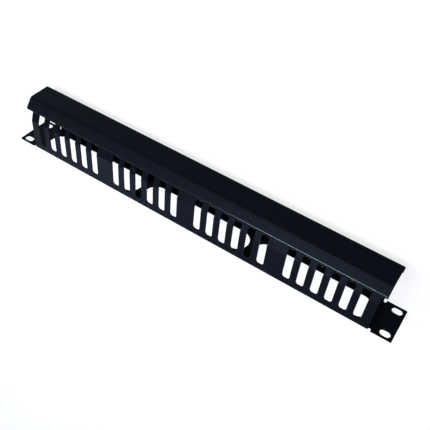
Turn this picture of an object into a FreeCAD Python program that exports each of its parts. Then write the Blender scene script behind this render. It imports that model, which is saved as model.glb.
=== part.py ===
import FreeCAD, Part
import math
import os
from collections import namedtuple

import Sketcher

# Horizontal cable manager, one rack unit high. A folded channel with rack ears carries two combs of
# fingers, and a folded cover clips over the fingers where they lean together at the front.
#
# X runs along the rack width, Y from the front (-Y) to the back (+Y) and Z up. The origin is the
# centre of the back plate's rear face, which lies against the rack rails. Depths are measured from
# that face towards the front. Lengths are in millimetres and angles in degrees.

SIZES = {
    # Channel: overall form
    "overall_width": 482.6,
    "channel_height": 44.0,
    "channel_sheet": 1.2,
    "fold_radius": 0.6,
    "bend_depth": 40.0,
    "lean_angle": 20.0,
    "lean_radius": 0.8,
    "finger_reach": 62.5,
    "fingertip_radius": 1.5,
    # Channel: ears, each from its outer edge to the ends of the flanges
    "ear_width": 24.9,
    "ear_corner_radius": 1.0,
    "relief_width": 3.0,
    "hole_edge_distance": 8.75,
    "hole_pitch_up": 31.75,
    "hole_length": 11.2,
    "hole_width": 7.4,
    # Channel: windows in the back plate, and the steel left beyond, between and above them
    "window_margin": 5.0,
    "window_bridge": 7.4,
    "window_rim": 9.0,
    "window_count": 3,
    # Channel: slots between the fingers
    "end_finger_width": 9.95,
    "slot_width": 8.3,
    "slot_floor": 8.8,
    "slot_pitch": 15.7,
    "slot_count": 6,
    "group_count": 4,
    # Cover, which runs past the flanges at both ends
    "cover_overhang": 5.3,
    "cover_sheet": 1.0,
    "crease_radius": 3.4,
    "edge_radius": 1.6,
    "edge_depth": 52.0,
    "edge_flat": 1.0,
    # Room between the cover and the fingers: ahead of the tips, beside them and at the turned-in edge
    "tip_front_gap": 2.6,
    "tip_side_gap": 0.8,
    "seat_clearance": 0.3,
}

HALF_WIDTH = "Sizes.overall_width / 2"
FLANGE_LENGTH = "(Sizes.overall_width - 2 * Sizes.ear_width)"
FLANGE_END = f"({FLANGE_LENGTH} / 2)"
COVER_LENGTH = f"({FLANGE_LENGTH} + 2 * Sizes.cover_overhang)"
HALF_HEIGHT = "Sizes.channel_height / 2"
FOLD_OUTER_RADIUS = "(Sizes.fold_radius + Sizes.channel_sheet)"
LEAN_SLOPE = "tan(Sizes.lean_angle)"
FINGERTIP_HEIGHT = f"({HALF_HEIGHT} - {LEAN_SLOPE} * (Sizes.finger_reach - Sizes.bend_depth))"
COVER_DEPTH = "(Sizes.finger_reach + Sizes.tip_front_gap + Sizes.cover_sheet)"
EDGE_HEIGHT = (
    f"({HALF_HEIGHT} - {LEAN_SLOPE} * (Sizes.edge_depth - Sizes.bend_depth)"
    " + Sizes.seat_clearance / cos(Sizes.lean_angle))"
)
HOLE_COLUMN = f"({HALF_WIDTH} - Sizes.hole_edge_distance)"
WINDOW_LENGTH = (
    f"(({FLANGE_LENGTH} - 2 * Sizes.window_margin + Sizes.window_bridge) / Sizes.window_count"
    " - Sizes.window_bridge)"
)
WINDOW_PITCH = f"({WINDOW_LENGTH} + Sizes.window_bridge)"
WINDOW_HEIGHT = "(Sizes.channel_height - 2 * Sizes.window_rim)"
FIRST_SLOT = f"-({FLANGE_END} - Sizes.end_finger_width - Sizes.slot_width / 2)"
GROUP_PITCH = (
    f"(({FLANGE_LENGTH} - 2 * Sizes.end_finger_width - Sizes.slot_width"
    " - (Sizes.slot_count - 1) * Sizes.slot_pitch) / (Sizes.group_count - 1))"
)

# How a sketch numbers its origin, its first axis and the places on its geometry
START, END, CENTRE = range(1, 4)
ORIGIN = (-1, START)
WIDTH_AXIS = ORIGIN[0]

RIGHT, UP, LEFT = 0, math.pi / 2, math.pi
DOWN = -UP
TOUCHING = 1e-5

Edge = namedtuple("Edge", "index start end")
Strip = namedtuple("Strip", "outer inner")

document = FreeCAD.newDocument("CableManager")
sheet = document.addObject("Spreadsheet::Sheet", "Sizes")


def fill_sheet():
    for row, (name, number) in enumerate(SIZES.items(), start=1):
        sheet.set(f"A{row}", name)
        sheet.set(f"B{row}", str(number))
        sheet.setAlias(f"B{row}", name)
    document.recompute()


def value(expression):
    """The number that an expression over the sheet's aliases has now."""
    result = sheet.evalExpression(expression)
    return float(getattr(result, "Value", result))


def origin_feature(body, role):
    return next(feature for feature in body.Origin.OriginFeatures if feature.Role == role)


class Drawing:
    """A sketch on one of a body's own origin planes."""

    def __init__(self, body, name, plane):
        self.sketch = body.newObject("Sketcher::SketchObject", name)
        self.sketch.AttachmentSupport = [(origin_feature(body, plane), "")]
        self.sketch.MapMode = "FlatFace"

    def line(self, start, end):
        segment = Part.LineSegment(FreeCAD.Vector(*start, 0), FreeCAD.Vector(*end, 0))
        return Edge(self.sketch.addGeometry(segment, False), START, END)

    def arc(self, centre, radius, first, last):
        """An arc from one angle to another, counter-clockwise where the second is the larger."""
        circle = Part.Circle(FreeCAD.Vector(*centre, 0), FreeCAD.Vector(0, 0, 1), radius)
        index = self.sketch.addGeometry(Part.ArcOfCircle(circle, *sorted((first, last))), False)
        return Edge(index, START, END) if last > first else Edge(index, END, START)

    def marker(self, place):
        return self.sketch.addGeometry(Part.Point(FreeCAD.Vector(*place, 0)), True)

    def tie(self, kind, *places, size=None):
        """Constrain geometry; where the constraint has a size, bind it to the sheet."""
        if size is None:
            self.sketch.addConstraint(Sketcher.Constraint(kind, *places))
            return
        number = value(size)
        if kind == "Angle":
            number = math.radians(number)
        index = self.sketch.addConstraint(Sketcher.Constraint(kind, *places, number))
        self.sketch.setExpression(f"Constraints[{index}]", size)

    def place(self, index, position, across=None, up=None):
        """Tie a point's distances from the origin, each negative on the negative side."""
        if across is not None:
            self.tie("DistanceX", *ORIGIN, index, position, size=across)
        if up is not None:
            self.tie("DistanceY", *ORIGIN, index, position, size=up)

    def join(self, *edges, smooth=True):
        """Join edges end to start, tangent to each other or at a corner."""
        for first, second in zip(edges, edges[1:]):
            kind = "Tangent" if smooth else "Coincident"
            self.tie(kind, first.index, first.end, second.index, second.start)


def folded_strip(drawing, corners, sheet_size, radii):
    """Draw the section of a folded sheet and tie its thickness and its inner bend radii.

    The outer face runs straight from corner to corner, each bend turns left and the inner face is on
    the left. The caller ties the places and slopes of the straight runs that come back.
    """
    thickness = value(sheet_size)
    steps = [(b[0] - a[0], b[1] - a[1]) for a, b in zip(corners, corners[1:])]
    ways = [(x / math.hypot(x, y), y / math.hypot(x, y)) for x, y in steps]
    lefts = [(-y, x) for x, y in ways]
    headings = [math.atan2(y, x) for x, y in ways]
    turns = [(b - a) % math.tau for a, b in zip(headings, headings[1:])]
    setbacks = [(value(size) + thickness) * math.tan(turn / 2) for size, turn in zip(radii, turns)]

    def along(place, way, distance):
        return (place[0] + way[0] * distance, place[1] + way[1] * distance)

    starts = [along(a, way, back) for a, way, back in zip(corners, ways, [0] + setbacks)]
    ends = [along(b, way, -back) for b, way, back in zip(corners[1:], ways, setbacks + [0])]
    outer = [drawing.line(a, b) for a, b in zip(starts, ends)]
    inner = [
        drawing.line(along(a, left, thickness), along(b, left, thickness))
        for a, b, left in zip(starts, ends, lefts)
    ]
    for run, (size, turn) in enumerate(zip(radii, turns)):
        centre = along(ends[run], lefts[run], value(size) + thickness)
        first = headings[run] - math.pi / 2
        bend_outer = drawing.arc(centre, value(size) + thickness, first, first + turn)
        bend_inner = drawing.arc(centre, value(size), first, first + turn)
        drawing.join(outer[run], bend_outer, outer[run + 1])
        drawing.join(inner[run], bend_inner, inner[run + 1])
        drawing.tie("Coincident", bend_outer.index, CENTRE, bend_inner.index, CENTRE)
        drawing.tie("Radius", bend_inner.index, size=size)
    for outer_run, inner_run in zip(outer, inner):
        drawing.tie("Parallel", outer_run.index, inner_run.index)

    first_cap = drawing.line(starts[0], along(starts[0], lefts[0], thickness))
    last_cap = drawing.line(ends[-1], along(ends[-1], lefts[-1], thickness))
    for cap, run, position in ((first_cap, 0, START), (last_cap, -1, END)):
        drawing.tie("Coincident", outer[run].index, position, cap.index, START)
        drawing.tie("Coincident", inner[run].index, position, cap.index, END)
        drawing.tie("Perpendicular", cap.index, outer[run].index)
    drawing.tie("Distance", first_cap.index, size=sheet_size)
    return Strip(outer, inner)


def obround(drawing, across, up, length, width):
    """Draw a closed slot with full-round ends, long along the sketch's first axis."""
    radius = value(width) / 2
    reach = f"({length} - {width}) / 2"
    x, y, half = value(across), value(up), value(reach)
    right = drawing.arc((x + half, y), radius, DOWN, UP)
    top = drawing.line((x + half, y + radius), (x - half, y + radius))
    left = drawing.arc((x - half, y), radius, UP, UP + LEFT)
    bottom = drawing.line((x - half, y - radius), (x + half, y - radius))
    drawing.join(right, top, left, bottom, right)
    drawing.tie("Equal", right.index, left.index)
    drawing.tie("Radius", right.index, size=f"{width} / 2")
    drawing.place(right.index, CENTRE, f"{across} + {reach}", up)
    drawing.place(left.index, CENTRE, f"{across} - {reach}", up)


def open_slot(drawing, across, up, width, mouth, tip_radius=None, tips=None):
    """Draw a slot with a full-round floor that opens downwards as far as the mouth.

    With a tip radius, the material on both sides of the slot is rounded off where it ends, at tips.
    """
    radius = value(width) / 2
    x, y, mouth_at = value(across), value(up), value(mouth)
    flare = value(tip_radius) if tip_radius else 0
    side_end = value(tips) + flare if tip_radius else mouth_at
    floor = drawing.arc((x, y), radius, RIGHT, LEFT)
    left = drawing.line((x - radius, y), (x - radius, side_end))
    right = drawing.line((x + radius, side_end), (x + radius, y))
    drawing.join(right, floor, left)
    drawing.tie("Vertical", left.index)
    drawing.tie("Vertical", right.index)
    drawing.tie("Radius", floor.index, size=f"{width} / 2")
    drawing.place(floor.index, CENTRE, across, up)
    half = radius + flare
    closing = drawing.line((x - half, mouth_at), (x + half, mouth_at))
    drawing.place(closing.index, START, up=mouth)
    drawing.tie("Horizontal", closing.index)
    if not tip_radius:
        drawing.join(left, closing, right, smooth=False)
        return
    tips_at = value(tips)
    left_tip = drawing.arc((x - half, side_end), flare, RIGHT, DOWN)
    right_tip = drawing.arc((x + half, side_end), flare, LEFT + UP, LEFT)
    left_wall = drawing.line((x - half, tips_at), (x - half, mouth_at))
    right_wall = drawing.line((x + half, mouth_at), (x + half, tips_at))
    drawing.join(left, left_tip)
    drawing.join(right_tip, right)
    drawing.join(left_tip, left_wall, closing, right_wall, right_tip, smooth=False)
    for tip, outer_end, wall in ((left_tip, left_tip.end, left_wall), (right_tip, right_tip.start, right_wall)):
        drawing.tie("Radius", tip.index, size=tip_radius)
        drawing.tie("Vertical", tip.index, CENTRE, tip.index, outer_end)
        drawing.tie("Vertical", wall.index)
        drawing.place(tip.index, outer_end, up=tips)


def ear_outline(drawing):
    """Draw the right-hand ear, from the end of the flanges to its two rounded outer corners."""
    near, far = value(FLANGE_END), value(HALF_WIDTH)
    top, radius = value(HALF_HEIGHT), value("Sizes.ear_corner_radius")
    bottom_edge = drawing.line((near, -top), (far - radius, -top))
    lower_corner = drawing.arc((far - radius, radius - top), radius, DOWN, RIGHT)
    outer_edge = drawing.line((far, radius - top), (far, top - radius))
    upper_corner = drawing.arc((far - radius, top - radius), radius, RIGHT, UP)
    top_edge = drawing.line((far - radius, top), (near, top))
    inner_edge = drawing.line((near, top), (near, -top))
    drawing.join(bottom_edge, lower_corner, outer_edge, upper_corner, top_edge)
    drawing.join(top_edge, inner_edge, bottom_edge, smooth=False)
    drawing.tie("Horizontal", bottom_edge.index)
    drawing.tie("Horizontal", top_edge.index)
    drawing.tie("Vertical", outer_edge.index)
    drawing.tie("Vertical", inner_edge.index)
    drawing.tie("Equal", lower_corner.index, upper_corner.index)
    drawing.tie("Radius", upper_corner.index, size="Sizes.ear_corner_radius")
    drawing.place(inner_edge.index, START, FLANGE_END, HALF_HEIGHT)
    drawing.place(inner_edge.index, END, up=f"-({HALF_HEIGHT})")
    drawing.place(outer_edge.index, START, across=HALF_WIDTH)


def pad(body, name, drawing, length, both_ways=False):
    feature = body.newObject("PartDesign::Pad", name)
    feature.Profile = drawing.sketch
    feature.SideType = "Symmetric" if both_ways else "One side"
    feature.setExpression("Length", length)
    document.recompute()
    return feature


def pocket(body, name, drawing, depth, both_ways=False):
    """Cut a drawing out of the body, and stop if the cut takes nothing away."""
    before = body.Shape.Volume
    feature = body.newObject("PartDesign::Pocket", name)
    feature.Profile = drawing.sketch
    feature.SideType = "Symmetric" if both_ways else "One side"
    feature.Reversed = not both_ways
    feature.setExpression("Length", depth)
    document.recompute()
    if not body.Shape.Volume < before - TOUCHING:
        raise RuntimeError(f"{name} cuts nothing")
    return feature


def mirror_plane(feature, body, plane):
    feature.MirrorPlane = (origin_feature(body, plane), [""])


def mirrored(body, name, originals, plane):
    feature = body.newObject("PartDesign::Mirrored", name)
    feature.Originals = originals
    mirror_plane(feature, body, plane)
    body.Tip = feature
    document.recompute()
    return feature


def mirrored_to_corners(body, name, original):
    """Repeat one corner's feature at the other three corners."""
    feature = body.newObject("PartDesign::MultiTransform", name)
    feature.Originals = [original]
    steps = []
    for plane in ("XY_Plane", "YZ_Plane"):
        step = body.newObject("PartDesign::Mirrored", f"{name}_{plane[:2]}")
        mirror_plane(step, body, plane)
        steps.append(step)
    feature.Transformations = steps
    body.Tip = feature
    document.recompute()
    return feature


def repeated_along_width(body, name, original, rows):
    """Repeat a feature along X, once for each pair of a count and a pitch."""
    feature = body.newObject("PartDesign::MultiTransform", name)
    feature.Originals = [original]
    steps = []
    for number, (count, pitch) in enumerate(rows, start=1):
        step = body.newObject("PartDesign::LinearPattern", f"{name}_{number}")
        step.Direction = (origin_feature(body, "X_Axis"), [""])
        step.Mode = "Spacing"
        step.setExpression("Offset", pitch)
        step.setExpression("Occurrences", count)
        steps.append(step)
    feature.Transformations = steps
    body.Tip = feature
    document.recompute()
    return feature


def round_flange_corners(body):
    """Round the four front corners of the flanges, which are the outer corners of the end fingers."""
    end_at = value(FLANGE_END)
    front_zone = -value("Sizes.finger_reach - Sizes.channel_sheet")

    def is_corner(edge):
        box = edge.BoundBox
        at_end = abs(abs(edge.CenterOfMass.x) - end_at) < TOUCHING
        return at_end and box.XLength < TOUCHING and box.YMax < front_zone

    flanges = body.Tip
    edges = enumerate(flanges.Shape.Edges, start=1)
    corners = [f"Edge{number}" for number, edge in edges if is_corner(edge)]
    feature = body.newObject("PartDesign::Fillet", "end_finger_corners")
    feature.Base = (flanges, corners)
    feature.setExpression("Radius", "Sizes.fingertip_radius")
    document.recompute()


def channel_section(body):
    """The upper half: back plate, fold, flange, second bend and leaning finger."""
    drawing = Drawing(body, "half_section", "YZ_Plane")
    height = value(HALF_HEIGHT)
    bend, reach = value("Sizes.bend_depth"), value("Sizes.finger_reach")
    corners = [(0, 0), (0, height), (-bend, height), (-reach, value(FINGERTIP_HEIGHT))]
    strip = folded_strip(
        drawing, corners, "Sizes.channel_sheet", ["Sizes.fold_radius", "Sizes.lean_radius"]
    )
    plate, flange, finger = (run.index for run in strip.outer)
    drawing.tie("Coincident", plate, START, *ORIGIN)
    drawing.tie("Vertical", plate)
    drawing.tie("Horizontal", flange)
    drawing.place(flange, START, up=HALF_HEIGHT)
    drawing.tie("Angle", flange, finger, size="Sizes.lean_angle")
    bend_corner = drawing.marker((-bend, height))
    drawing.tie("PointOnObject", bend_corner, START, flange)
    drawing.tie("PointOnObject", bend_corner, START, finger)
    drawing.place(bend_corner, START, across="-Sizes.bend_depth")
    drawing.place(finger, END, across="-Sizes.finger_reach")
    return drawing


def cable_channel():
    body = document.addObject("PartDesign::Body", "cable_channel")
    section = channel_section(body)
    half = pad(body, "upper_flange", section, FLANGE_LENGTH, both_ways=True)
    mirrored(body, "lower_flange", [half], "XY_Plane")
    round_flange_corners(body)

    ear_drawing = Drawing(body, "ear_outline", "XZ_Plane")
    ear_outline(ear_drawing)
    ear = pad(body, "right_ear", ear_drawing, "Sizes.channel_sheet")
    mirrored(body, "left_ear", [ear], "YZ_Plane")

    relief_drawing = Drawing(body, "relief_outline", "XZ_Plane")
    open_slot(
        relief_drawing,
        f"{FLANGE_END} + Sizes.relief_width / 2",
        f"-({HALF_HEIGHT} - {FOLD_OUTER_RADIUS})",
        "Sizes.relief_width",
        f"-({HALF_HEIGHT} + Sizes.relief_width)",
    )
    relief = pocket(body, "relief", relief_drawing, "Sizes.channel_sheet")
    mirrored_to_corners(body, "reliefs", relief)

    hole_drawing = Drawing(body, "hole_outline", "XZ_Plane")
    obround(
        hole_drawing,
        HOLE_COLUMN,
        "Sizes.hole_pitch_up / 2",
        "Sizes.hole_length",
        "Sizes.hole_width",
    )
    hole = pocket(body, "mounting_hole", hole_drawing, "Sizes.channel_sheet")
    mirrored_to_corners(body, "mounting_holes", hole)

    window_drawing = Drawing(body, "window_outline", "XZ_Plane")
    obround(
        window_drawing,
        f"-(Sizes.window_count - 1) * {WINDOW_PITCH} / 2",
        "0",
        WINDOW_LENGTH,
        WINDOW_HEIGHT,
    )
    window = pocket(body, "window", window_drawing, "Sizes.channel_sheet")
    repeated_along_width(body, "windows", window, [("Sizes.window_count", WINDOW_PITCH)])

    slot_drawing = Drawing(body, "slot_outline", "XY_Plane")
    open_slot(
        slot_drawing,
        FIRST_SLOT,
        "-(Sizes.slot_floor + Sizes.slot_width / 2)",
        "Sizes.slot_width",
        "-(Sizes.finger_reach + Sizes.fingertip_radius)",
        tip_radius="Sizes.fingertip_radius",
        tips="-Sizes.finger_reach",
    )
    slot = pocket(body, "slot", slot_drawing, "Sizes.channel_height", both_ways=True)
    rows = [("Sizes.slot_count", "Sizes.slot_pitch"), ("Sizes.group_count", GROUP_PITCH)]
    repeated_along_width(body, "slots", slot, rows)
    return body


def cover_section(body):
    """The upper half: turned-in edge, sloping side and front panel.

    The sloping side and the turned-in edge each stay a small gap off the fingers, so the slope of
    the side follows from where the fingers end and where the edge meets them.
    """
    drawing = Drawing(body, "half_section", "YZ_Plane")
    thickness, clearance = value("Sizes.cover_sheet"), value("Sizes.tip_side_gap")
    edge_depth, edge_height = value("Sizes.edge_depth"), value(EDGE_HEIGHT)
    tip = (-value("Sizes.finger_reach"), value(FINGERTIP_HEIGHT))
    radius = value("Sizes.edge_radius")
    centre = (-(edge_depth + radius + thickness), edge_height + value("Sizes.edge_flat"))
    gap = (centre[0] - tip[0], centre[1] - tip[1])
    slope = math.atan2(*gap) - math.asin((radius - clearance) / math.hypot(*gap))
    front = -value(COVER_DEPTH)
    rise = 1 / math.tan(slope)
    crease_height = tip[1] + (clearance + thickness) / math.sin(slope) + (front - tip[0]) * rise
    corners = [
        (-edge_depth, edge_height),
        (-edge_depth, crease_height + (-edge_depth - front) * rise),
        (front, crease_height),
        (front, 0),
    ]
    strip = folded_strip(
        drawing, corners, "Sizes.cover_sheet", ["Sizes.edge_radius", "Sizes.crease_radius"]
    )
    edge, side, panel = (run.index for run in strip.outer)
    drawing.tie("Vertical", edge)
    drawing.place(edge, START, "-Sizes.edge_depth", EDGE_HEIGHT)
    drawing.tie("Distance", edge, size="Sizes.edge_flat")
    drawing.tie("Vertical", panel)
    drawing.place(panel, END, across=f"-{COVER_DEPTH}")
    drawing.tie("PointOnObject", panel, END, WIDTH_AXIS)
    fingertip = drawing.marker(tip)
    drawing.place(fingertip, START, "-Sizes.finger_reach", FINGERTIP_HEIGHT)
    inner_side = strip.inner[1].index
    drawing.tie("Distance", fingertip, START, inner_side, size="Sizes.tip_side_gap")
    return drawing


def front_cover():
    body = document.addObject("PartDesign::Body", "front_cover")
    section = cover_section(body)
    half = pad(body, "upper_half", section, COVER_LENGTH, both_ways=True)
    mirrored(body, "lower_half", [half], "XY_Plane")
    return body


def check_document(bodies):
    document.recompute()
    for item in document.Objects:
        if {"Invalid", "Error"} & set(item.State):
            raise RuntimeError(f"{item.Label} failed: {item.State}")
    for body in bodies:
        shape = body.Shape
        if shape.isNull() or not shape.isValid() or len(shape.Solids) != 1:
            raise RuntimeError(f"{body.Label} isn't one valid solid")


fill_sheet()
parts = [cable_channel(), front_cover()]
check_document(parts)
os.makedirs("parts", exist_ok=True)
for part in parts:
    part.Shape.exportStep(f"parts/{part.Label}.step")
    bounds = part.Shape.BoundBox
    print(f"{part.Label}: {part.Shape.Volume:.1f} mm3, {bounds}")
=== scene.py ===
import math

import bmesh
import bpy
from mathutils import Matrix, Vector


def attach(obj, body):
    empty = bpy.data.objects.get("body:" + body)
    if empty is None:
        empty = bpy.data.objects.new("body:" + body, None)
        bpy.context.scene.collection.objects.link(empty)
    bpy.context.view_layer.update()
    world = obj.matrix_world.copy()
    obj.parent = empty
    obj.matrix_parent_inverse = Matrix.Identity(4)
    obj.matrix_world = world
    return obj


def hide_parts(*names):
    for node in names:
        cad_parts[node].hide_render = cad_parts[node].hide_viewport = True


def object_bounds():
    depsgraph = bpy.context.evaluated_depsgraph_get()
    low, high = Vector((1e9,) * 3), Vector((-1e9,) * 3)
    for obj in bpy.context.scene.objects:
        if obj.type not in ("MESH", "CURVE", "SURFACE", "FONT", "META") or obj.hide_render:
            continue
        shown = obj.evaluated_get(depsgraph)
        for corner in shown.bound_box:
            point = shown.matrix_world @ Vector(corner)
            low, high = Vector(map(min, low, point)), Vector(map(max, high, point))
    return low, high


# A one-unit horizontal cable manager in black powder-coated steel: a folded channel with two combs of
# fingers, and a folded cover over the front of them. Lengths are in millimetres here, and the scene is
# in metres.

MM = 0.001

CAMERA_AT = (-242.093, -492.9, 399.021)
CAMERA_TURN = (-43.407, 33.268, -174.563)
CAMERA_LENS = 51.546

# The powder coat. Its specular level is low, so that the white studio, which every reflection holds,
# leaves the black dark.
BLUE_BLACK = "#070d18"
WARM_BLACK = "#0a0c13"
POWDER_TINT = "#d8e4ff"
POWDER_GRAIN = 0.9
POWDER_CLOUD = 26.0
POWDER_ROUGHNESS = 0.22
POWDER_SPECULAR = 0.026
COVER_SHIFT = 0.37

# The rear windows, a row of three. The cutter runs from inside the channel to behind its back plate.
WINDOW_PITCH = 143.4
WINDOW_LENGTH = 136.3
WINDOW_HEIGHT = 28.8
WINDOW_FACETS = 96
CUT_FROM = -4
CUT_TO = 3

# Angles in degrees: faces nearer than the first are merged, and edges below the second are smooth
FLAT_BELOW = 0.5
SMOOTH_BELOW = 35.0

# The floor's glow and its colour add up to white. It lies a hair below the part, clear of its faces.
FLOOR_SIDE = 6000.0
FLOOR_GAP = 0.1
FLOOR_GLOW = 0.76
PALE_FLOOR = "#999b9d"
STUDIO_LEVEL = 0.5

# Lamp colours, as linear red, green and blue
COOL = (0.86, 0.93, 1.0)
STRIP_COOL = (0.86, 0.92, 1.0)
BLUE = (0.3, 0.42, 1.0)
SKY_BLUE = (0.35, 0.6, 1.0)
WHITE = (1, 1, 1)


def to_linear(colour):
    """An sRGB hex colour as the linear red, green, blue and alpha that the nodes take."""
    parts = [int(colour[i : i + 2], 16) / 255 for i in (1, 3, 5)]
    linear = [p / 12.92 if p <= 0.04045 else ((p + 0.055) / 1.055) ** 2.4 for p in parts]
    return (*linear, 1.0)


def add_node(tree, kind, settings=None, **inputs):
    """Add a node, with a number, a colour or another node's output for each input.

    An input is given by its name with underscores, or by its index, such as _0.
    """
    node = tree.nodes.new(kind)
    for name, setting in (settings or {}).items():
        setattr(node, name, setting)
    for name, source in inputs.items():
        socket = node.inputs[int(name[1:])] if name[1:].isdigit() else node.inputs[name.replace("_", " ")]
        if isinstance(source, bpy.types.NodeSocket):
            tree.links.new(source, socket)
        else:
            socket.default_value = source
    return node


def empty_material(name):
    material = bpy.data.materials.new(name)
    material.use_nodes = True
    material.node_tree.nodes.clear()
    return material, material.node_tree


def powder_coat(name, shift):
    """Polyester powder coat, sprayed dry and baked: a satin black film with a faint orange peel.

    It is a little bluer or warmer in broad soft clouds, and its peel breaks up the reflections. The
    shift, in metres, gives each sheet its own clouds.
    """
    material, tree = empty_material(name)
    place = add_node(tree, "ShaderNodeTexCoord")
    moved = add_node(
        tree, "ShaderNodeMapping", Vector=place.outputs["Object"], Location=(shift, 0.0, 0.0)
    )
    clouds = add_node(
        tree,
        "ShaderNodeTexNoise",
        Vector=moved.outputs["Vector"],
        Scale=1 / (POWDER_CLOUD * MM),
        Detail=3.0,
        Roughness=0.55,
    )
    grain = add_node(
        tree,
        "ShaderNodeTexNoise",
        Vector=moved.outputs["Vector"],
        Scale=1 / (POWDER_GRAIN * MM),
        Detail=2.0,
        Roughness=0.5,
    )
    colour = add_node(
        tree,
        "ShaderNodeMix",
        {"data_type": "RGBA"},
        _0=clouds.outputs["Fac"],
        _6=to_linear(BLUE_BLACK),
        _7=to_linear(WARM_BLACK),
    )
    sheen = add_node(
        tree,
        "ShaderNodeMapRange",
        _0=grain.outputs["Fac"],
        _1=0.3,
        _2=0.7,
        _3=POWDER_ROUGHNESS - 0.05,
        _4=POWDER_ROUGHNESS + 0.06,
    )
    peel = add_node(
        tree,
        "ShaderNodeBump",
        Height=grain.outputs["Fac"],
        Strength=0.12,
        Distance=0.05 * MM,
    )
    film = add_node(
        tree,
        "ShaderNodeBsdfPrincipled",
        Base_Color=colour.outputs[2],
        Roughness=sheen.outputs["Result"],
        Specular_IOR_Level=POWDER_SPECULAR,
        Specular_Tint=to_linear(POWDER_TINT),
        Normal=peel.outputs["Normal"],
    )
    add_node(tree, "ShaderNodeOutputMaterial", Surface=film.outputs["BSDF"])
    return material


def paint(node, material):
    """Give a CAD node one material in every slot."""
    node.data.materials.clear()
    node.data.materials.append(material)


def select_only(obj):
    bpy.ops.object.select_all(action="DESELECT")
    obj.select_set(True)
    bpy.context.view_layer.objects.active = obj


def window_cutter(across):
    """A block with full-round ends that stands through the back plate."""
    radius = WINDOW_HEIGHT / 2 * MM
    reach = (WINDOW_LENGTH - WINDOW_HEIGHT) / 2 * MM
    block = bmesh.new()
    ends = bmesh.ops.create_circle(block, cap_ends=True, segments=WINDOW_FACETS, radius=radius)["verts"]
    for vert in ends:
        shift = math.copysign(reach, vert.co.x)
        vert.co = (vert.co.x + shift + across * MM, CUT_FROM * MM, vert.co.y)
    grown = bmesh.ops.extrude_face_region(block, geom=block.faces[:])["geom"]
    for vert in (item for item in grown if isinstance(item, bmesh.types.BMVert)):
        vert.co.y = CUT_TO * MM
    bmesh.ops.recalc_face_normals(block, faces=block.faces[:])
    mesh = bpy.data.meshes.new("window_cutter")
    block.to_mesh(mesh)
    block.free()
    cutter = bpy.data.objects.new("window_cutter", mesh)
    bpy.context.collection.objects.link(cutter)
    return cutter


def open_up_windows(node):
    """Stand in for the channel with one whose rear windows have their full height."""
    piece = bpy.data.objects.new("slotted_channel", node.data.copy())
    bpy.context.collection.objects.link(piece)
    for across in (-WINDOW_PITCH, 0, WINDOW_PITCH):
        cutter = window_cutter(across)
        cut = piece.modifiers.new("window", "BOOLEAN")
        cut.operation, cut.solver, cut.object = "DIFFERENCE", "EXACT", cutter
        select_only(piece)
        bpy.ops.object.modifier_apply(modifier=cut.name)
        bpy.data.objects.remove(cutter)
    flatten = piece.modifiers.new("flatten", "DECIMATE")
    flatten.decimate_type = "DISSOLVE"
    flatten.angle_limit = math.radians(FLAT_BELOW)
    bpy.ops.object.modifier_apply(modifier=flatten.name)
    bpy.ops.object.shade_smooth_by_angle(angle=math.radians(SMOOTH_BELOW))
    weigh = piece.modifiers.new("weigh", "WEIGHTED_NORMAL")
    weigh.keep_sharp = True
    weigh.weight = 100
    bpy.ops.object.modifier_apply(modifier=weigh.name)
    return piece


def seen_directly(tree):
    """1 for a ray from the camera, and for one that a glossy or a clear surface sends on."""
    path = add_node(tree, "ShaderNodeLightPath")
    total = path.outputs["Is Camera Ray"]
    for name in ("Is Glossy Ray", "Is Transmission Ray"):
        total = add_node(
            tree, "ShaderNodeMath", {"operation": "MAXIMUM"}, _0=total, _1=path.outputs[name]
        ).outputs["Value"]
    return total


def lay_floor(level):
    """A pale floor under the channel that keeps a light shadow where the object stands."""
    bpy.ops.mesh.primitive_plane_add(size=FLOOR_SIDE * MM, location=(0, 0, level))
    floor = bpy.context.object
    floor.name = "studio_floor"
    material, tree = empty_material("pale_floor")
    seen = seen_directly(tree)
    own_glow = add_node(tree, "ShaderNodeMath", {"operation": "MULTIPLY"}, _0=seen, _1=FLOOR_GLOW)
    matt = add_node(tree, "ShaderNodeBsdfDiffuse", Color=to_linear(PALE_FLOOR))
    glow = add_node(
        tree, "ShaderNodeEmission", Color=(1, 1, 1, 1), Strength=own_glow.outputs["Value"]
    )
    both = add_node(
        tree, "ShaderNodeAddShader", _0=matt.outputs["BSDF"], _1=glow.outputs["Emission"]
    )
    add_node(tree, "ShaderNodeOutputMaterial", Surface=both.outputs["Shader"])
    floor.data.materials.append(material)


def light_world(strength):
    """A white studio, which lights the part at a strength and is plain white where it is seen."""
    world = bpy.data.worlds.new("studio")
    bpy.context.scene.world = world
    world.use_nodes = True
    tree = world.node_tree
    tree.nodes.clear()
    level = add_node(
        tree, "ShaderNodeMapRange", _0=seen_directly(tree), _3=strength, _4=1.0
    )
    light = add_node(
        tree, "ShaderNodeBackground", Color=(1, 1, 1, 1), Strength=level.outputs["Result"]
    )
    add_node(tree, "ShaderNodeOutputWorld", Surface=light.outputs["Background"])


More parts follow.
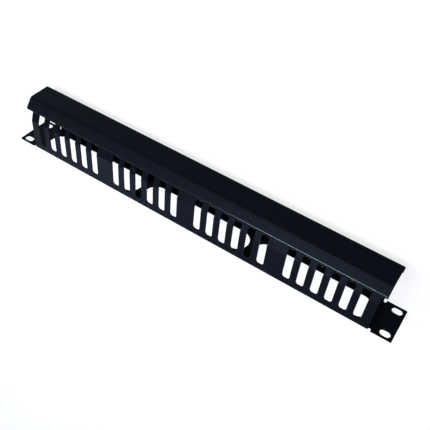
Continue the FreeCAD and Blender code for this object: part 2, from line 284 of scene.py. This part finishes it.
def softbox(name, place, aim, size, power, colour=WHITE, gloss_only=False):
    """A soft rectangular lamp that faces a point. One that is gloss_only shows in reflections alone."""
    bpy.ops.object.light_add(type="AREA", location=[v * MM for v in place])
    lamp = bpy.context.object
    lamp.name = name
    lamp.data.shape = "RECTANGLE"
    lamp.data.size, lamp.data.size_y = (s * MM for s in size)
    lamp.data.energy = power
    lamp.data.color = colour
    lamp.visible_diffuse = not gloss_only
    back = lamp.location - Vector([v * MM for v in aim])
    lamp.rotation_euler = back.to_track_quat("Z", "Y").to_euler()
    return lamp


def set_camera():
    bpy.ops.object.camera_add(
        location=[v * MM for v in CAMERA_AT], rotation=[math.radians(t) for t in CAMERA_TURN]
    )
    camera = bpy.context.object
    camera.name = "camera"
    camera.data.lens = CAMERA_LENS
    camera.data.clip_start = 10 * MM
    bpy.context.scene.camera = camera


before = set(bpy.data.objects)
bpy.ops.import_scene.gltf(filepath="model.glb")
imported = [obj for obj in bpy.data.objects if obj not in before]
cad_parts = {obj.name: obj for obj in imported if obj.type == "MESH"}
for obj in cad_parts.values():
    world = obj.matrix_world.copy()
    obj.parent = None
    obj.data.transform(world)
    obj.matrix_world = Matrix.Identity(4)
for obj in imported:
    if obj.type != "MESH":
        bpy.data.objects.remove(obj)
cad_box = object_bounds()

channel = open_up_windows(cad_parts["cable_channel"])
paint(channel, powder_coat("channel_powder_coat", 0.0))
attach(channel, "channel")
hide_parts("cable_channel")
paint(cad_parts["front_cover"], powder_coat("cover_powder_coat", COVER_SHIFT))

lay_floor(cad_box[0].z - FLOOR_GAP * MM)
light_world(STUDIO_LEVEL)
softbox("top_softbox", (430, -350, 1000), (430, -350, 0), (1350, 450), 8.5, COOL)
softbox("edge_strip", (25, -195, 1000), (25, 0, 0), (440, 60), 98, STRIP_COOL, gloss_only=True)
softbox("blue_softbox", (400, 700, 900), (400, 700, 0), (900, 350), 5, BLUE)
softbox("front_softbox", (420, -1000, 420), (0, 0, 0), (900, 300), 1.6)
softbox("back_softbox", (850, 780, 780), (0, 0, 0), (700, 450), 1.5, SKY_BLUE)
set_camera()

bpy.context.scene.view_settings.view_transform = "Standard"
